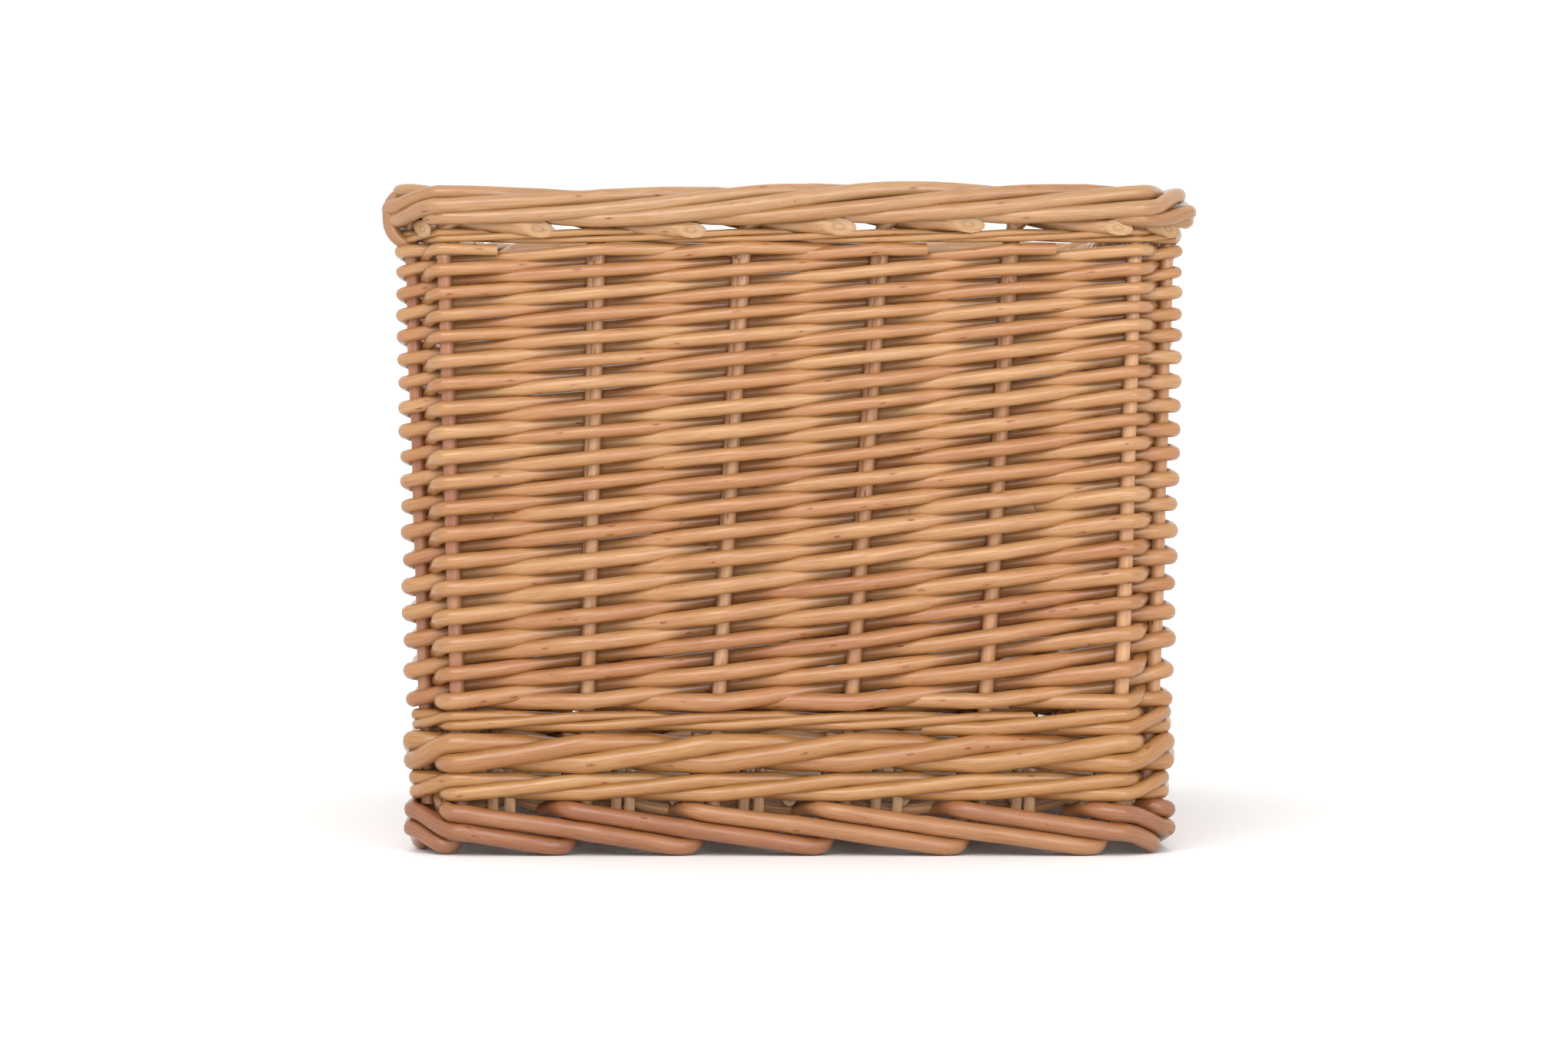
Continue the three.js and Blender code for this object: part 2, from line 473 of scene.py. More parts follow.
def add(tree, kind, *values, **settings):
    """Adds a node with its settings, and fills its inputs in order. A value may be a number, a
    colour, another node's output, or another node, which gives its first output."""
    node = tree.nodes.new("ShaderNode" + kind)
    for key, value in settings.items():
        setattr(node, key, value)
    sockets = [socket for socket in node.inputs if socket.enabled]
    for socket, value in zip(sockets, values):
        if isinstance(value, bpy.types.Node):
            value = next(output for output in value.outputs if output.enabled)
        if isinstance(value, bpy.types.NodeSocket):
            tree.links.new(value, socket)
        else:
            socket.default_value = value
    return node


# %% Straighten the rod for its grain
ROD_ROUND = 3.5 * MM     # the radius of the cylinder that the patterns are worked out on
# Each pattern's size across the rod and along it. Real grain is finer, and would be too fine to
# show, so it is drawn as coarse as it needs to be seen.
GRAIN = (0.7 * MM, 14 * MM)
MOTTLE = (6 * MM, 30 * MM)
STAIN = (3 * MM, 18 * MM)
VARNISH = (2 * MM, 10 * MM)
CHIPS = (0.6 * MM, 1.5 * MM)
SCARS = (5 * MM, 20 * MM)
FLECKS = (2.2 * MM, 7 * MM)
SOLID_SHARE = 0.6        # how much of a mark's reach is solid, before it fades


def straight_rod(tree):
    """The straightened rod's place in metres: two sides across it, and the way along it."""
    parts = add(tree, "SeparateXYZ", add(tree, "UVMap", uv_map="rod"))
    along = parts.outputs[0]
    angle = add(tree, "Math", parts.outputs[1], math.tau, operation="MULTIPLY")
    sides = [add(tree, "Math", angle, operation=side) for side in ("COSINE", "SINE")]
    across = [add(tree, "Math", side, ROD_ROUND, operation="MULTIPLY") for side in sides]
    return (*across, along)


def pattern_space(tree, rod, pattern):
    """The straightened rod with one unit to a pattern's size, across and along."""
    across, along = pattern
    sizes = (across, across, along)
    scaled = [add(tree, "Math", place, size, operation="DIVIDE") for place, size in zip(rod, sizes)]
    return add(tree, "CombineXYZ", *scaled)


def marks(tree, rod, pattern, share, reach):
    """Marks along the rod, in a share of the pattern's cells: 1 on a mark, fading to 0 at the
    given distance in cells."""
    cells = add(tree, "TexVoronoi", pattern_space(tree, rod, pattern), 1.0)
    cell_number = add(tree, "SeparateColor", cells.outputs["Color"])
    near = add(tree, "MapRange", cells.outputs["Distance"], reach * SOLID_SHARE, reach, 1.0, 0.0)
    chosen = add(tree, "Math", cell_number, share, operation="LESS_THAN")
    return add(tree, "Math", near, chosen, operation="MULTIPLY")


# %% Colour a rod's peeled skin
SCAR_BROWN = "#6b3211"
FLECK_BROWN = "#774320"
BRUISE_BROWN = "#a06433"
STAIN_BROWN = "#8f5230"
GRAIN_SHADE = "#b98a6a"
ROUGHER = 0.55           # how strong each finer layer of a pattern's noise is
# Where each pattern of noise starts to show, and where it shows fully.
GRAIN_RANGE = (0.35, 0.72)
STAIN_RANGE = (0.58, 0.8)
CHIP_RANGE = (0.38, 0.52)
# How much of its shade each one mixes in at most.
GRAIN_MOST = 0.45
STAIN_MOST = 0.55
BRUISE_MOST = 0.3
SCAR_MOST = 0.9
FLECK_MOST = 0.5
# The share of cells that have a mark, and how far a mark reaches in its cell. A scar's bruise is in
# the same cells, and wider.
SCAR_SHARE = 0.55
SCAR_REACH = 0.13
BRUISE_REACH = 0.28
FLECK_SHARE = 0.3
FLECK_REACH = 0.2
# How high each pattern stands on the surface, or how deep if less than 0.
MOTTLE_HEIGHT = 0.9
GRAIN_HEIGHT = 0.35
SCAR_HEIGHT = -0.5


def darken(tree, share, most, colour, brown):
    """Mixes a brown into a colour, by up to the given amount."""
    amount = add(tree, "Math", share, most, operation="MULTIPLY")
    return add(tree, "Mix", amount, colour, linear(brown), data_type="RGBA")


def skin(tree, rod, pale, middle, deep):
    """The skin's colour, and how high its surface stands."""
    tint = add(tree, "Attribute", attribute_name="tint").outputs["Fac"]
    mottle = add(tree, "TexNoise", pattern_space(tree, rod, MOTTLE), 1.0, 3.0, ROUGHER)
    shift = add(tree, "Math", mottle, 0.5, operation="SUBTRACT")
    shade = add(tree, "Math", tint, shift, operation="ADD", use_clamp=True)
    ramp = add(tree, "ValToRGB", shade)
    ramp.color_ramp.elements[0].color = linear(deep)
    ramp.color_ramp.elements[1].color = linear(pale)
    ramp.color_ramp.elements.new(0.5).color = linear(middle)

    grain = add(tree, "TexNoise", pattern_space(tree, rod, GRAIN), 1.0, 4.0, ROUGHER)
    grain_share = add(tree, "MapRange", grain, *GRAIN_RANGE, 0.0, GRAIN_MOST)
    grain_shade = linear(GRAIN_SHADE)
    colour = add(tree, "Mix", grain_share, ramp, grain_shade, data_type="RGBA", blend_type="MULTIPLY")
    stain = add(tree, "TexNoise", pattern_space(tree, rod, STAIN), 1.0, 2.0, ROUGHER)
    stain_share = add(tree, "MapRange", stain, *STAIN_RANGE, 0.0, 1.0)
    colour = darken(tree, stain_share, STAIN_MOST, colour, STAIN_BROWN)

    chips = add(tree, "TexNoise", pattern_space(tree, rod, CHIPS), 1.0, 2.0, ROUGHER)
    ragged = add(tree, "MapRange", chips, *CHIP_RANGE, 0.0, 1.0)
    bruise = marks(tree, rod, SCARS, SCAR_SHARE, BRUISE_REACH)
    whole_scar = marks(tree, rod, SCARS, SCAR_SHARE, SCAR_REACH)
    scar = add(tree, "Math", whole_scar, ragged, operation="MULTIPLY")
    whole_fleck = marks(tree, rod, FLECKS, FLECK_SHARE, FLECK_REACH)
    fleck = add(tree, "Math", whole_fleck, ragged, operation="MULTIPLY")
    colour = darken(tree, bruise, BRUISE_MOST, colour, BRUISE_BROWN)
    colour = darken(tree, scar, SCAR_MOST, colour, SCAR_BROWN)
    colour = darken(tree, fleck, FLECK_MOST, colour, FLECK_BROWN)

    relief = add(tree, "Math", mottle, MOTTLE_HEIGHT, operation="MULTIPLY")
    for height, pattern in ((GRAIN_HEIGHT, grain), (SCAR_HEIGHT, scar)):
        raised = add(tree, "Math", pattern, height, operation="MULTIPLY")
        relief = add(tree, "Math", relief, raised, operation="ADD")
    return colour, relief


# %% Colour a rod's cut ends
CUT_PALE = "#ad885d"
CUT_DARK = "#977147"
PITH_BROWN = "#855a33"
BARK_BROWN = "#96633a"
GROWTH_RINGS = 18        # radians from the pith to the bark, so nearly three rings
RING_MOST = 0.4          # how much of the darker wood a ring mixes in at most
# Distances on a cut end are in the rod's radii.
WOBBLE = 0.12            # how far out of round the rings run
WOBBLE_SCALE = 2.5
PITH_EDGE = 0.3          # the dark line round the pith
PITH_LINE = (0.03, 0.1)  # half the line's width, where it is solid and where it has faded
PITH_MOST = 0.6
BARK_EDGE = (0.84, 0.97)
BARK_MOST = 0.75


def cut_ends(tree):
    """The colour of the cut wood, and where it shows."""
    ends = add(tree, "Attribute", attribute_name="end_grain").outputs["Vector"]
    parts = add(tree, "SeparateXYZ", ends)
    flat = add(tree, "CombineXYZ", parts.outputs[0], parts.outputs[1])
    from_pith = add(tree, "VectorMath", flat, operation="LENGTH")
    wobble = add(tree, "TexNoise", flat, WOBBLE_SCALE, 3.0)
    wobble = add(tree, "MapRange", wobble, 0.0, 1.0, -WOBBLE, WOBBLE)
    place = add(tree, "Math", from_pith, wobble, operation="ADD")
    turns = add(tree, "Math", place, GROWTH_RINGS, operation="MULTIPLY")
    rings = add(tree, "Math", turns, operation="SINE")
    ring_share = add(tree, "MapRange", rings, -1.0, 1.0, 0.0, RING_MOST)
    colour = add(tree, "Mix", ring_share, linear(CUT_PALE), linear(CUT_DARK), data_type="RGBA")
    past_pith = add(tree, "Math", place, PITH_EDGE, operation="SUBTRACT")
    pith_line = add(tree, "Math", past_pith, operation="ABSOLUTE")
    pith_share = add(tree, "MapRange", pith_line, *PITH_LINE, 1.0, 0.0)
    colour = darken(tree, pith_share, PITH_MOST, colour, PITH_BROWN)
    bark_share = add(tree, "MapRange", from_pith, *BARK_EDGE, 0.0, 1.0)
    colour = darken(tree, bark_share, BARK_MOST, colour, BARK_BROWN)
    return colour, parts.outputs[2]


# %% Build the willows
VARNISH_CHANGE = 0.08    # how much smoother the varnish gets where it lies thick
VARNISH_IOR = 1.5
WOOD_SPECULAR = 0.4
VARNISH_COAT = 0.55      # a thin coat, which lets the wood's own dull shine through
VARNISH_ROUGHNESS = 0.2
CUT_ROUGHNESS = 0.75     # the cut wood is dry and takes no varnish
BUMP_STRENGTH = 0.55
BUMP_DEPTH = 0.6 * MM


def willow(name, pale, middle, deep, roughness=0.4):
    """A willow's material, with three colours that the rods' tints run through."""
    material = bpy.data.materials.new(name)
    material.use_nodes = True
    tree = material.node_tree
    shader = tree.nodes["Principled BSDF"]

    rod = straight_rod(tree)
    skin_colour, relief = skin(tree, rod, pale, middle, deep)
    cut_colour, on_cut = cut_ends(tree)
    colour = add(tree, "Mix", on_cut, skin_colour, cut_colour, data_type="RGBA")

    varnish = add(tree, "TexNoise", pattern_space(tree, rod, VARNISH), 1.0, 2.0, ROUGHER)
    smooth = roughness - VARNISH_CHANGE
    rough = roughness + 1.5 * VARNISH_CHANGE
    skin_roughness = add(tree, "MapRange", varnish, 0.0, 1.0, smooth, rough)
    cut_roughness = add(tree, "Math", on_cut, CUT_ROUGHNESS, operation="MULTIPLY")
    all_roughness = add(tree, "Math", skin_roughness, cut_roughness, operation="MAXIMUM")

    bump = add(tree, "Bump", BUMP_STRENGTH, BUMP_DEPTH)
    tree.links.new(relief.outputs[0], bump.inputs["Height"])
    tree.links.new(colour.outputs[2], shader.inputs["Base Color"])
    tree.links.new(all_roughness.outputs[0], shader.inputs["Roughness"])
    tree.links.new(bump.outputs[0], shader.inputs["Normal"])
    shader.inputs["IOR"].default_value = VARNISH_IOR
    shader.inputs["Specular IOR Level"].default_value = WOOD_SPECULAR
    shader.inputs["Coat Weight"].default_value = VARNISH_COAT
    shader.inputs["Coat Roughness"].default_value = VARNISH_ROUGHNESS
    return material


RAND_WILLOW = willow("buff_willow_siding", "#b38a5b", "#a77747", "#996338")
WALE_WILLOW = willow("buff_willow_waling", "#ae8450", "#a47541", "#966133")
RIM_WILLOW = willow("buff_willow_border", "#a88258", "#9f7448", "#92623a")
FOOT_WILLOW = willow("buff_willow_foot", "#a5764b", "#98653d", "#85502e", roughness=0.46)
# The stakes' colours are kept paler than the weavers' as painted light, to make up for the shade that
# the weavers cast on them.
STAKE_WILLOW = willow("buff_willow_stakes", "#d0a376", "#bd8a5c", "#a16643", roughness=0.48)
BASE_WILLOW = willow("buff_willow_base", "#c69f75", "#b88a5d", "#9f6d46", roughness=0.6)
print(len(RAND_WILLOW.node_tree.nodes), "nodes in each willow")

# %% [markdown]
# ## The stakes
# Each stake is a straight rod with a thinner one, the bye-stake, pushed in beside it after the first
# rows to stiffen it. The weaving covers them except for short lengths between the rows, where
# both show side by side. Cylinders from end to end would be quicker, but dead straight, and would
# run into each other. Rods along a path lean aside for one another and wander a little. Each stake
# keeps its own piece, as it has its own node.

# %% Stand the stakes and bye-stakes
STAKE_STEP = 14 * MM
STAKE_WANDER = 0.5 * MM
STAKE_WANDER_LENGTH = 45 * MM
STAKE_TINTS = (0.45, 0.85)
LEFT_REDNESS = 0.35      # the left wall's stakes and the near left corner's are redder
BYE_STAKE_DARKER = 0.1
BASE_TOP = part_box("base_weave")[1].z
BASE_MIDDLE = (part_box("base_weave")[0].z + BASE_TOP) / 2
RIM_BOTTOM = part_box("rim_border")[0].z
STAKE_BOTTOM = BASE_MIDDLE - 3 * MM
STAKE_TOP = RIM_BOTTOM + 3 * MM
STAKE_BUTT = 1.1         # a stake's thickness against its packed size, at its foot
STAKE_TIP = 1.06         # and at its top
THINNER_APART = 0.16     # how much thinner its top is where the two stand well apart
STAKE_ASIDE = 1.3 * MM   # how far a stake leans aside there

BYE_STAKE_RADIUS = 2.3 * MM
BYE_STAKE_BOTTOM = BASE_TOP + 12 * MM
BYE_STAKE_TOP = RIM_BOTTOM - 2 * MM
BYE_STAKE_BUTT = 0.9
# From its stake's centre line, at its foot and at its top.
BYE_STAKE_BESIDE = (1.2 * MM, 2.3 * MM)
BYE_STAKE_INSIDE = (2.4 * MM, 0.5 * MM)

# How far apart the two stand, where 1 is well apart: they are pinched together at a corner.
CORNER_APART = 0.2
WALL_APART = (0.3, 1.0, 1.0)


def upright_path(number, beside, out, bottom, top):
    """An upright rod beside a stake's centre line and out from it, from one pair of distances at
    its foot to another at its top."""
    count = max(2, round((top - bottom) / STAKE_STEP))
    seed = dice.uniform(0, 100)
    path = []
    for step in range(count + 1):
        share = step / count
        height = bottom + (top - bottom) * share
        place = beside_stake(number, beside[0] + (beside[1] - beside[0]) * share)
        sway = wander(seed, height, STAKE_WANDER, STAKE_WANDER_LENGTH)
        path.append(wall_point(place, out[0] + (out[1] - out[0]) * share + sway, height))
    return path


def stand_stake(number, apart, tint):
    """A stake, which leans aside as it rises to make room for its bye-stake."""
    path = upright_path(number, (0, -STAKE_ASIDE * apart), (0, 0), STAKE_BOTTOM, STAKE_TOP)
    top_radius = STAKE_RADIUS * (STAKE_TIP - THINNER_APART * abs(apart))
    return make_rod(path, taper(path, STAKE_RADIUS * STAKE_BUTT, top_radius), tint)


def stand_bye_stake(number, apart, side, tint):
    """A bye-stake, which comes out from behind its stake as it rises."""
    beside = [distance * side for distance in BYE_STAKE_BESIDE]
    foot_inside, top_inside = BYE_STAKE_INSIDE
    out = (-foot_inside, -top_inside * abs(apart))
    path = upright_path(number, beside, out, BYE_STAKE_BOTTOM, BYE_STAKE_TOP)
    radii = taper(path, BYE_STAKE_RADIUS * BYE_STAKE_BUTT, BYE_STAKE_RADIUS)
    return make_rod(path, radii, tint)


for number, node in enumerate(stake_nodes):
    redness = LEFT_REDNESS if stake_walls[number] == "left" or number == 0 else 0
    tint = dice.uniform(*STAKE_TINTS) - redness
    side = dice.choice((-1, 1))
    apart = side * (CORNER_APART if is_corner[number] else dice.choice(WALL_APART))
    stake = stand_stake(number, apart, tint)
    bye_stake = stand_bye_stake(number, apart, side, tint - BYE_STAKE_DARKER)
    join_rods("stake_" + node, [stake, bye_stake], STAKE_WILLOW, "stake_willow", node)

# %% [markdown]
# ## The siding
# The sides are French rand. As many weavers as stakes are set in, one beside each stake, and each
# goes in front of one stake, behind the next, and so on, lying on the one before it. Every weaver
# climbs by its own thickness at each stake, so all of them wind up round the basket together and
# every row comes out level. The rods taper as they climb, so the rows are thick at the bottom and
# thin at the top. Part of the way up the first set is used up, and a second set carries on. One
# woven row could be modelled and copied up the wall, but its rods would have no ends and never
# climb. Here each weaver is one long rod that follows a formula in, out and up, so the slopes, the
# taper and the joins all come from the way it is woven.

# %% Work out the rows of the siding
LEVELS = 36              # each stake has a rod in front at every second level
THINNING = 0.16          # how much thicker the lowest level is than the middle one
JOIN_LEVEL = 13
CREEP_FROM = 0.16        # of the way up: below this the rows still follow the level waling
CREEP_TO = 0.7           # and above this they level out again
CREEP_FADE = 0.3
ROW_RISE = {             # how far the rows have crept up at each wall's two ends, in mm
    "front": (0, 7),
    "right": (2, 6),
    "back": (0, 6),
    "left": (2, 1),
}

siding_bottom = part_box("lower_rand")[0].z
siding_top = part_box("upper_rand")[1].z
mean_level = (siding_top - siding_bottom) / (LEVELS + 1)


def level_share(level):
    """How far up the siding a level is, from 0 to 1."""
    return min(1.0, max(0.0, level / LEVELS))


def level_thickness(level):
    """The height that a rod takes up at a level."""
    return mean_level * (1 + THINNING * (1 - 2 * level_share(level)))


def row_rise(place):
    """How far the rows have crept up at a place, where nothing holds them level."""
    number = math.floor(place)
    rises = []
    for stake in (number % STAKES, (number + 1) % STAKES):
        start, end = ROW_RISE[stake_walls[stake]]
        rises.append((start + (end - start) * wall_shares[stake] ** 2) * MM)
    return rises[0] + (rises[1] - rises[0]) * (place - number)


def ease(value):
    """Runs smoothly from 0 to 1, and stays there on either side."""
    value = min(1.0, max(0.0, value))
    return value * value * (3 - 2 * value)


def level_height(place, level):
    """The height of the middle of a rod at a level. The rows creep up along each wall, except at
    the very bottom and top, where they meet the level waling."""
    share = level_share(level)
    climbed = share * (1 + THINNING) - THINNING * share * share
    free = ease(share / CREEP_FROM) * (1 - ease((share - CREEP_TO) / CREEP_FADE))
    lowest = siding_bottom + level_thickness(0) / 2
    height = lowest + climbed * (siding_top - siding_bottom - mean_level)
    return height + row_rise(place) * free


row_gaps = [round(2 * level_thickness(level) / MM, 1) for level in (0, LEVELS)]
print("rows", row_gaps[0], "mm apart at the bottom and", row_gaps[1], "at the top")

# %% Weave the siding
PACKING = 1.16           # a rod's thickness against its level's, as neighbours press together
SNUG = 0.1 * MM          # between a weaver and the stake it passes
SWAY_OUT = 0.55 * MM     # how far a weaver strays, and over how many levels
SWAY_OUT_LEVELS = 1.7
SWAY_UP = 1.1 * MM
SWAY_UP_LEVELS = 1.3
UP_SEED = 50             # so that a weaver strays up and out on its own
TUCK = 6 * MM            # how far inside the old weaver a new one starts
TUCK_LEVELS = 0.9
FIRST_LEVEL = -0.4
LAST_LEVEL = LEVELS + 0.6
HIGHEST_LEVEL = LEVELS + 0.4   # a weaver's tail climbs no further than this
WEAVER_SIZES = (0.89, 1.09)
BUTT_REACH = (0.3, 0.5)  # levels that a butt reaches back, from where its weaver starts
# Levels that a tip carries on, past its last. At the top a third of the tips stay hidden.
LOWER_TIP_REACH = (0.3, 0.3, 0.35)
UPPER_TIP_REACH = (-0.25, 0.3, 0.35)


def siding_rod(start_stake, first, last, butt, tip, tuck):
    """One weaver from level first to level last, counted from in front of its own stake."""
    seed = dice.uniform(0, 100)
    path = []
    for climbed in stations(start_stake + first, start_stake + last):
        level = climbed - start_stake
        radius = butt + (tip - butt) * (level - first) / (last - first)
        past_stake = STAKE_RADIUS + radius + SNUG - corner_crush(climbed)
        tucked = TUCK * max(0, 1 - (level - first) / TUCK_LEVELS) if tuck else 0
        out = woven((1, -1), level) / (1 - BEND) * past_stake - tucked
        out += wander(seed, level, SWAY_OUT, SWAY_OUT_LEVELS)
        height = level_height(climbed, min(level, HIGHEST_LEVEL))
        height += wander(seed + UP_SEED, level, SWAY_UP, SWAY_UP_LEVELS)
        path.append(wall_point(climbed, out, height))
    return path


def weave_set(first_level, last_level, butt_level, tip_level, tip_reach):
    """A set of weavers, one for each stake, as (path, butt radius, tip radius)."""
    weavers = []
    for stake in range(STAKES):
        size = dice.uniform(*WEAVER_SIZES) * PACKING / 2
        butt = level_thickness(butt_level) * size
        tip = level_thickness(tip_level) * size
        start = first_level - dice.uniform(*BUTT_REACH)
        end = last_level + dice.choice(tip_reach)
        weavers.append((siding_rod(stake, start, end, butt, tip, first_level > 0), butt, tip))
    return weavers


lower_set = weave_set(FIRST_LEVEL, JOIN_LEVEL, 0, JOIN_LEVEL, LOWER_TIP_REACH)
upper_set = weave_set(JOIN_LEVEL, LAST_LEVEL, JOIN_LEVEL - 1, LEVELS, UPPER_TIP_REACH)
print(len(lower_set), "weavers from the bottom and", len(upper_set), "more from level", JOIN_LEVEL)

# %% Make the weavers
LOWER_BUNDLES = 2        # the weavers are shared out among this many pieces
UPPER_BUNDLES = 4
LOWER_TINTS = (0.15, 0.7)
UPPER_TINTS = (0.3, 0.85)
BUTT_SLOPES = (-0.4, 0.4)


def rods_from(weavers, tints):
    """The rods of a bundle of weavers, each with its own tint, taper and cut."""
    rods = []
    for path, butt, tip in weavers:
        tint = dice.uniform(*tints)
        radii = taper(path, butt, tip)
        rods.append(make_rod(path, radii, tint, start_slope=dice.uniform(*BUTT_SLOPES)))
    return rods


for bundle in range(LOWER_BUNDLES):
    rods = rods_from(lower_set[bundle::LOWER_BUNDLES], LOWER_TINTS)
    join_rods(f"lower_rand_weavers_{bundle + 1}", rods, RAND_WILLOW, "rand_willow", "lower_rand")
for bundle in range(UPPER_BUNDLES):
    rods = rods_from(upper_set[bundle::UPPER_BUNDLES], UPPER_TINTS)
    join_rods(f"upper_rand_weavers_{bundle + 1}", rods, RAND_WILLOW, "rand_willow", "upper_rand")

# %% [markdown]
# ## The waling
# A wale is three rods worked together, each in front of two stakes and behind one, so that it locks
# the stakes like a rope. In front of the first stake a rod lies low and in front of the second it
# lies high, over the rod that follows it. Three rounds of it start the sides and one thin round
# ends them. Each round has three rods that begin and end beside one another. Three strands twisted
# by a modifier would look like a rope, and would cut through the stakes. Rods with their own way
# round every stake lie right on the inside too, and one function works all four rounds.

# %% Work the wales
WALE_RODS = 3
# A rod's height at each half step, in its own radii: low in front, high in front, then down inside.
WALE_RISE = (-1.0, -0.1, 1.0, 0.9, 0.0, -0.9)
WALE_WANDER = 0.5 * MM
WANDER_OUT_STAKES = 1.9
WANDER_UP_STAKES = 2.3
WALE_UP_SEED = 9
WALE_SIZES = (0.96, 1.03)
WALE_BUTT_REACH = 0.45   # stakes, back from where a rod is first in front
WALE_OVERLAP = (0.7, 1.1)
WALE_SLOPES = (0.3, 0.8)   # of the cuts at the butt and at the tip


def wale_rod(start, length, middle, butt, tip, seed):
    """One rod of a wale, from a place along the stakes, over a number of stakes."""
    first_front = math.ceil(start)
    path = []
    for place in stations(start, start + length):
        radius = butt + (tip - butt) * (place - start) / length
        front = STAKE_RADIUS + radius + SNUG - corner_crush(place)
        out = woven((front, front, -front), place - first_front)
        out += wander(seed, place, WALE_WANDER, WANDER_OUT_STAKES)
        height = middle + radius * woven(WALE_RISE, 2 * (place - first_front))
        height += wander(seed + WALE_UP_SEED, place, WALE_WANDER, WANDER_UP_STAKES)
        path.append(wall_point(place, out, height))
    return path


def wale(node, start_stake, tints, butt_share=1.14, tip_share=0.94):
    """A round of waling in place of a packed ring. Two rods lie on each other in its height, and
    the shares are their thickness against half of it, at the butt and at the tip."""
    low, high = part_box(node)
    middle = (low.z + high.z) / 2
    nominal = (high.z - low.z) / 4
    rods = []
    for rod in range(WALE_RODS):
        butt = nominal * butt_share * dice.uniform(*WALE_SIZES)
        tip = nominal * tip_share * dice.uniform(*WALE_SIZES)
        start = start_stake + rod - WALE_BUTT_REACH
        length = STAKES + dice.uniform(*WALE_OVERLAP)
        path = wale_rod(start, length, middle, butt, tip, dice.uniform(0, 100))
        tint = dice.uniform(*tints)
        rods.append(make_rod(path, taper(path, butt, tip), tint, *WALE_SLOPES))
    join_rods(node + "_rods", rods, WALE_WILLOW, "wale_willow", node)


wale("low_wale", start_stake=22, tints=(0.5, 0.9))
wale("middle_wale", start_stake=17, tints=(0.3, 0.8))
wale("high_wale", start_stake=4, tints=(0.3, 0.7), butt_share=1.24, tip_share=0.8)
wale("top_wale", start_stake=12, tints=(0.3, 0.9), butt_share=1.1, tip_share=0.8)

# %% [markdown]
# ## The rim border
# At the top each stake is bent over to the right and becomes a rod of the border. It leans outward
# past the next stake, runs up across the outside over the following two, goes over the top and down
# inside, and comes out again under the border, where its end is cut off on a slant. With a rod
# starting at every stake, three or four always lie over one another, like a thick loose rope. That
# way is too free for a formula, and shaping every rod by hand would take too long. So it is one
# short list of places with a smooth curve through them, and each rod gets a sway, a thickness and
# a length of its own.

# %% Lay the rim border
RIM_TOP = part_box("rim_border")[1].z
RIM_ROD_RADIUS = 3.6 * MM
# Stakes along from its own, mm out from the stakes, and mm below the top of the rim.
RIM_COURSE = (
    (0.00, 0.0, 36.0),
    (0.00, 0.0, 25.0),
    (0.05, 0.5, 19.0),
    (0.15, 1.5, 15.5),
    (0.40, 1.8, 13.8),
    (0.65, 3.2, 14.8),
    (0.85, 6.2, 16.2),
    (1.10, 9.0, 16.6),
    (1.60, 10.0, 14.4),
    (2.10, 10.0, 11.0),
    (2.60, 8.4, 7.2),
    (3.10, 4.4, 4.2),
    (3.60, -1.0, 3.8),
    (4.05, -5.8, 5.6),
    (4.50, -8.2, 9.0),
    (4.85, -8.6, 13.2),
    (5.05, -6.6, 16.6),
    (5.22, -2.6, 18.6),
    (5.40, 2.0, 19.4),
    (5.58, 5.6, 20.2),
    (5.76, 8.6, 21.4),
)
RIM_SPAN_STEPS = 9       # rings between two places of the course
RIM_SAG = 2.6            # mm, how far the whole rim rises and falls
RIM_SAG_STAKES = 2.3
RIM_SAG_SEED = 7
RIM_SWAY_OUT = 1.2       # mm, how far each rod strays, and over how many stakes
RIM_SWAY_OUT_STAKES = 1.1
RIM_SWAY_UP = 1.6        # mm
RIM_SWAY_UP_STAKES = 1.2
RIM_UP_SEED = 30
RIM_SIZES = (0.94, 1.08)
RIM_STRETCH = (0.97, 1.03)
RIM_TINTS = (0.35, 0.95)
RIM_TIP = 1.1            # a rod's thickness where it is cut, against that at its stake
RIM_CLOSEST = 2.5 * MM   # rings closer than this would fold into each other in a bend
STRAIGHT_END = 4         # points left out before the cut, so that the end is straight
CUT_PLACE = 5.75         # stakes along, where the cut faces straight out
CUT_SLOPE = 1.9


def smooth_course(course, per_span):
    """A smooth curve through a rod's course, as Catmull-Rom spans."""
    points = [np.array(point, dtype=float) for point in course]
    points = [2 * points[0] - points[1]] + points + [2 * points[-1] - points[-2]]
    smooth = []
    for span in range(1, len(points) - 2):
        before, start, end, after = points[span - 1:span + 3]
        for step in range(per_span):
            t = step / per_span
            smooth.append(
                start
                + 0.5 * t * (end - before)
                + t * t * (before - 2.5 * start + 2 * end - 0.5 * after)
                + t ** 3 * (1.5 * start - 1.5 * end + 0.5 * after - 0.5 * before)
            )
    smooth.append(points[-2])
    return smooth


def spaced(path, nearest):
    """Drops points that are closer than the given distance to the one before."""
    kept = [path[0]]
    for point in path[1:-1]:
        if (point - kept[-1]).length >= nearest:
            kept.append(point)
    while len(kept) > 2 and (path[-1] - kept[-1]).length < nearest:
        kept.pop()
    kept.append(path[-1])
    return kept


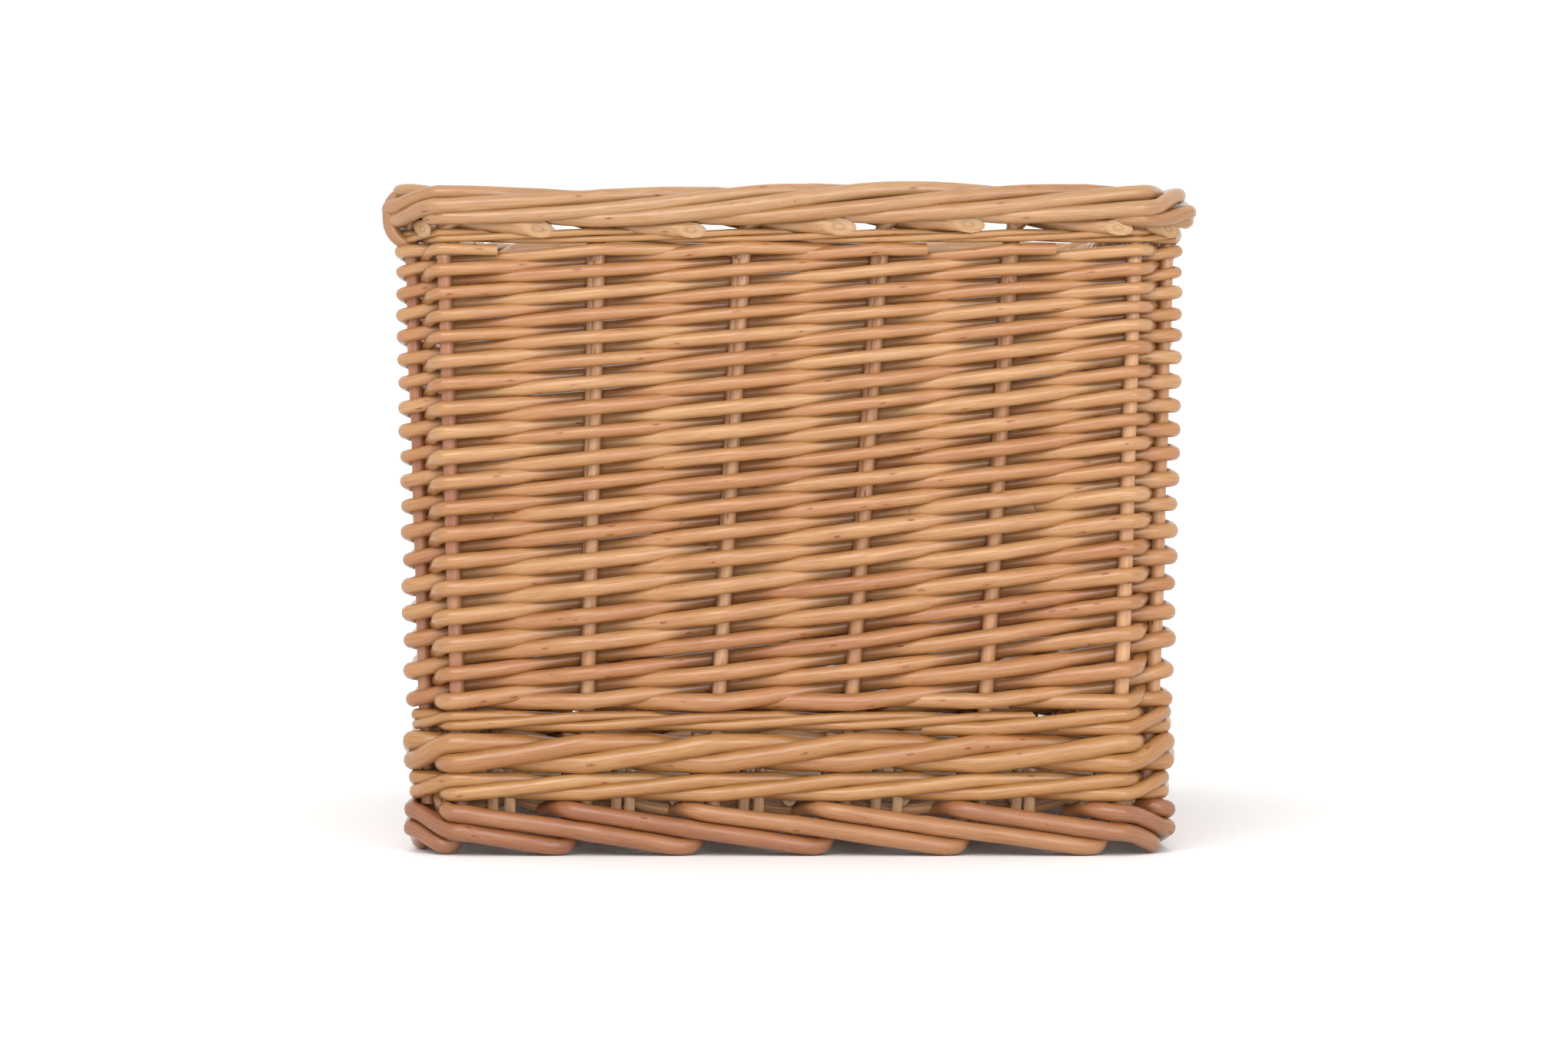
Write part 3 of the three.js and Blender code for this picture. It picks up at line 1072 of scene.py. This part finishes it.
rim_rods = []
for stake in range(STAKES):
    seed = dice.uniform(0, 100)
    radius = RIM_ROD_RADIUS * dice.uniform(*RIM_SIZES)
    stretch = dice.uniform(*RIM_STRETCH)
    path = []
    for along, out, down in smooth_course(RIM_COURSE, RIM_SPAN_STEPS):
        place = stake + along * stretch + HAIR
        out += wander(seed, along, RIM_SWAY_OUT, RIM_SWAY_OUT_STAKES)
        sway = wander(seed + RIM_UP_SEED, along, RIM_SWAY_UP, RIM_SWAY_UP_STAKES) * min(1, along)
        sag = wander(RIM_SAG_SEED, place % STAKES, RIM_SAG, RIM_SAG_STAKES)
        path.append(wall_point(place, out * MM, RIM_TOP - (down + (sway + sag)) * MM))
    path = spaced(path, RIM_CLOSEST)
    path = path[:-STRAIGHT_END] + [path[-1]]
    tint = dice.uniform(*RIM_TINTS)
    facing = outward(stake + CUT_PLACE)
    radii = taper(path, radius, radius * RIM_TIP)
    rim_rods.append(make_rod(path, radii, tint, 0, CUT_SLOPE, facing))
print(len(rim_rods), "rods in the border,", len(rim_rods[0].data.vertices), "points on the first")

# %% Turn one end down
# By the near left corner one end comes over the border, turns down outside it and is tucked in
# under it. Stakes along from the left wall's last, mm out from the stakes, and mm below the top.
HOOK_COURSE = (
    (-0.10, -5.0, 5.5),
    (-0.06, 0.5, 3.4),
    (-0.03, 5.5, 4.2),
    (-0.01, 9.0, 8.0),
    (0.00, 10.2, 14.0),
    (0.00, 9.6, 20.5),
    (0.02, 6.5, 26.0),
    (0.05, 1.0, 28.5),
)
HOOK_SPAN_STEPS = 6
HOOK_CLOSEST = 2.2 * MM
HOOK_TIP = 0.9
HOOK_TINT = 0.4

path = [
    wall_point(STAKES - 1 + along, out * MM, RIM_TOP - down * MM)
    for along, out, down in smooth_course(HOOK_COURSE, HOOK_SPAN_STEPS)
]
path = spaced(path, HOOK_CLOSEST)
radii = taper(path, RIM_ROD_RADIUS, RIM_ROD_RADIUS * HOOK_TIP)
rim_rods.append(make_rod(path, radii, HOOK_TINT))
join_rods("rim_border_rods", rim_rods, RIM_WILLOW, "rim_willow", "rim_border")

# %% [markdown]
# ## The foot border
# A thick rod is pushed up beside each stake into the waling. It comes down to the floor, is kinked
# there, and runs back to the left and up across the outside of the next two, before it turns in
# past the second and is cut off inside. These rods are given the reddest and darkest colours of
# the basket. A round rail bent from one tube would carry the basket, but it would touch the floor all
# along. Rods that follow a list of places, as the rim's do, touch it only at their kinks.

# %% Lay the foot border
FOOT_ROD_RADIUS = 4.65 * MM
# Stakes back from its own, mm out from the stakes, and mm above the floor.
FOOT_COURSE = (
    (0.12, -1.0, 60.0),
    (0.12, -1.0, 30.0),
    (0.12, -0.3, 14.0),
    (0.13, 1.6, 7.6),
    (0.17, 4.4, 4.9),
    (0.26, 6.6, 4.9),
    (0.42, 7.9, 6.4),
    (0.70, 8.2, 9.1),
    (1.00, 8.3, 12.0),
    (1.50, 8.4, 16.5),
    (1.95, 8.2, 20.6),
    (2.08, 7.4, 21.8),
    (2.17, 4.4, 22.5),
    (2.23, -0.8, 22.6),
    (2.28, -6.5, 21.8),
    (2.34, -11.5, 20.4),
)
FOOT_SPAN_STEPS = 8      # rings between two places of the course
FOOT_CLOSEST = 2.2 * MM
FOOT_SWAY = 0.9          # mm
FOOT_SWAY_STAKES = 0.9
FOOT_SIZES = (0.95, 1.04)
FOOT_TIP = 0.93
FOOT_TINTS = (0.1, 0.8)

foot_rods = []
for stake in range(STAKES):
    seed = dice.uniform(0, 100)
    radius = FOOT_ROD_RADIUS * dice.uniform(*FOOT_SIZES)
    path = []
    for back, out, height in smooth_course(FOOT_COURSE, FOOT_SPAN_STEPS):
        sway = wander(seed, back, FOOT_SWAY, FOOT_SWAY_STAKES) * MM
        above_floor = max(radius, height * MM + sway * min(1, back))
        path.append(wall_point(stake - back, out * MM + sway, above_floor))
    path = spaced(path, FOOT_CLOSEST)
    tint = dice.uniform(*FOOT_TINTS)
    foot_rods.append(make_rod(path, taper(path, radius, radius * FOOT_TIP), tint))
join_rods("foot_border_rods", foot_rods, FOOT_WILLOW, "foot_willow", "foot_border")

# %% [markdown]
# ## The base
# Stout sticks run the length of the base, and thinner rods are woven across them, over one and under
# the next, turning back round the outermost stick at each side. Round the edge the stakes' thinned
# tails are looped over it like straps, and those pale straps show under the waling. A grid of
# straight cylinders would run through the sticks. A cosine takes each row over one stick and under
# the next, half a turn leads to the next row, and a strap is a rod that is pressed flat.

# %% Lay the base sticks
STICK_STEPS = 24
STICK_WANDER = 0.8 * MM
STICK_WANDER_STEPS = 5
STICK_TIP = 0.94
STICK_TINTS = (0.2, 0.7)

base_sticks = sorted(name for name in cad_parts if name.startswith("base_stick_"))
stick_places = []
for node in base_sticks:
    low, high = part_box(node)
    stick_radius = (high.z - low.z) / 2
    x = (low.x + high.x) / 2
    z = (low.z + high.z) / 2
    stick_places.append(x)
    seed = dice.uniform(0, 100)
    path = []
    for step in range(STICK_STEPS + 1):
        y = low.y + (high.y - low.y) * step / STICK_STEPS
        path.append(Vector((x + wander(seed, step, STICK_WANDER, STICK_WANDER_STEPS), y, z)))
    radii = taper(path, stick_radius, stick_radius * STICK_TIP)
    stick = make_rod(path, radii, dice.uniform(*STICK_TINTS))
    join_rods("stick_" + node, [stick], BASE_WILLOW, "base_willow", node)

# %% Weave the base
base_low, base_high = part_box("base_weave")
BASE_ROD_RADIUS = 2.9 * MM
BASE_PACKING = 0.9       # how close the rows are beaten down, against a rod's thickness
BASE_ROW = 2 * BASE_ROD_RADIUS * BASE_PACKING
BASE_PRESS = 0.8         # of its radius: how far off a stick a rod's middle passes
ROWS_PER_ROD = 5
BASE_BUTT = 1.08         # a rod's thickness against the usual one, at its butt and tip
BASE_TIP = 0.85
BASE_TINTS = (0.3, 0.9)
GAP_STEPS = 8            # rings from one stick to the next
TURN_STEPS = 6           # and round an outermost stick
EDGE_INSET = 2.5 * MM    # clear at each end of the base

rows = int((base_high.y - base_low.y - 2 * EDGE_INSET) / BASE_ROW)
edge = stick_places[-1]
stick_gap = stick_places[1] - stick_places[0]
over = stick_radius + BASE_ROD_RADIUS * BASE_PRESS   # the sticks are all as thick


def base_row(row):
    """The points of one row of weaving, from one outermost stick to the other."""
    y = base_low.y + EDGE_INSET + BASE_ROW * (row + 0.5)
    sign = 1 if row % 2 else -1
    points = []
    for step in range(GAP_STEPS * (len(stick_places) - 1) + 1):
        sticks = step / GAP_STEPS
        z = BASE_MIDDLE + sign * over * math.cos(math.pi * sticks)
        points.append(Vector((sticks * stick_gap - edge, y, z)))
    return points if row % 2 else points[::-1]


def base_turn(end, direction):
    """The half turn round an outermost stick from one row to the next."""
    turn = []
    for step in range(1, TURN_STEPS):
        share = step / TURN_STEPS
        x = end.x + direction * over * math.sin(math.pi * share)
        z = BASE_MIDDLE + (end.z - BASE_MIDDLE) * math.cos(math.pi * share)
        turn.append(Vector((x, end.y + BASE_ROW * share, z)))
    return turn


base_rods = []
for first in range(0, rows, ROWS_PER_ROD):
    path = []
    for row in range(first, min(first + ROWS_PER_ROD, rows)):
        points = base_row(row)
        if path:
            path += base_turn(path[-1], 1 if path[-1].x > 0 else -1)
        path += points
    radii = taper(path, BASE_ROD_RADIUS * BASE_BUTT, BASE_ROD_RADIUS * BASE_TIP)
    base_rods.append(make_rod(path, radii, dice.uniform(*BASE_TINTS)))
print(len(base_rods), "rods in", rows, "rows")

# %% Loop the stakes' tails round the edge of the base
STRAP_RADIUS = 3.0 * MM  # half a strap's width
STRAP_THINNESS = 0.38    # its thickness against its width
STRAP_TIP = 0.8
STRAP_PLACES = (0.24, 0.37)    # of the way from each stake to the next
STRAP_SHIFT = 0.03
STRAP_TINTS = (0.7, 1.0)
STRAP_STEPS = 3
STRAP_OUT = -4.0 * MM    # a strap's place against the stakes: less than 0 is inside them
STRAP_DROP = (12, 15)    # mm, how far below the base's middle it ends
ASIDE = 0.01             # a small step along the wall, to find which way it runs

for stake in range(STAKES):
    for share in STRAP_PLACES:
        place = stake + share + dice.uniform(-STRAP_SHIFT, STRAP_SHIFT)
        low = BASE_MIDDLE - dice.uniform(*STRAP_DROP) * MM
        course = [
            (STRAP_OUT + 1 * MM, BASE_TOP + 12 * MM),
            (STRAP_OUT + 2.5 * MM, BASE_TOP + 2 * MM),
            (STRAP_OUT + 3 * MM, BASE_MIDDLE),
            (STRAP_OUT + 2 * MM, BASE_MIDDLE - 8 * MM),
            (STRAP_OUT - 2 * MM, low),
        ]
        smooth = smooth_course(course, STRAP_STEPS)
        path = [wall_point(place, out, height) for out, height in smooth]
        width = (wall_point(place + ASIDE, 0, 0) - wall_point(place - ASIDE, 0, 0)).normalized()
        radii = taper(path, STRAP_RADIUS, STRAP_RADIUS * STRAP_TIP)
        tint = dice.uniform(*STRAP_TINTS)
        base_rods.append(make_rod(path, radii, tint, flatten=(width, STRAP_THINNESS)))
join_rods("base_weave_rods", base_rods, BASE_WILLOW, "base_willow", "base_weave")

# %% [markdown]
# ## The studio
# A white sheet of floor under a bright, even sky of soft light. A large soft lamp stands above and
# to the left of the camera, and a weaker one low on the right lifts the shade on that side. Small
# strong lamps would draw a hard shadow under every rod. This way the basket only shades itself
# between the rods, and throws a narrow shadow where it touches the floor.

# %% Light the studio
FLOOR_SIZE = 60          # metres, so that its edge is out of sight
PAPER_ROUGHNESS = 0.5
SKY_STRENGTH = 1.14
LAMP_AIM = Vector((0, 0, 0.15))

bpy.ops.mesh.primitive_plane_add(size=FLOOR_SIZE, location=(0, 0, 0))
floor = bpy.context.object
floor.name = "floor"
paper = bpy.data.materials.new("white_paper")
paper.use_nodes = True
paper_shader = paper.node_tree.nodes["Principled BSDF"]
paper_shader.inputs["Base Color"].default_value = linear("#fafafa")
paper_shader.inputs["Roughness"].default_value = PAPER_ROUGHNESS
floor.data.materials.append(paper)

world = bpy.data.worlds.new("studio")
world.use_nodes = True
world.node_tree.nodes["Background"].inputs["Color"].default_value = (1, 1, 1, 1)
world.node_tree.nodes["Background"].inputs["Strength"].default_value = SKY_STRENGTH
bpy.context.scene.world = world


def soft_lamp(name, place, size, power):
    """A square lamp, its size in metres and its power in watts, aimed at the basket's middle."""
    lamp = bpy.data.lights.new(name, "AREA")
    lamp.shape = "SQUARE"
    lamp.size = size
    lamp.energy = power
    holder = bpy.data.objects.new(name, lamp)
    bpy.context.scene.collection.objects.link(holder)
    holder.location = place
    to_basket = LAMP_AIM - Vector(place)
    holder.rotation_euler = to_basket.to_track_quat("-Z", "Y").to_euler()


soft_lamp("key", (-0.7, -2.5, 1.9), size=1.8, power=46)
soft_lamp("fill", (0.9, -2.4, 0.8), size=1.2, power=18)
bpy.context.scene.view_settings.view_transform = "Standard"
print("sky strength", SKY_STRENGTH, "and two lamps")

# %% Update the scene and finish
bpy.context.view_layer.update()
for side in range(3):
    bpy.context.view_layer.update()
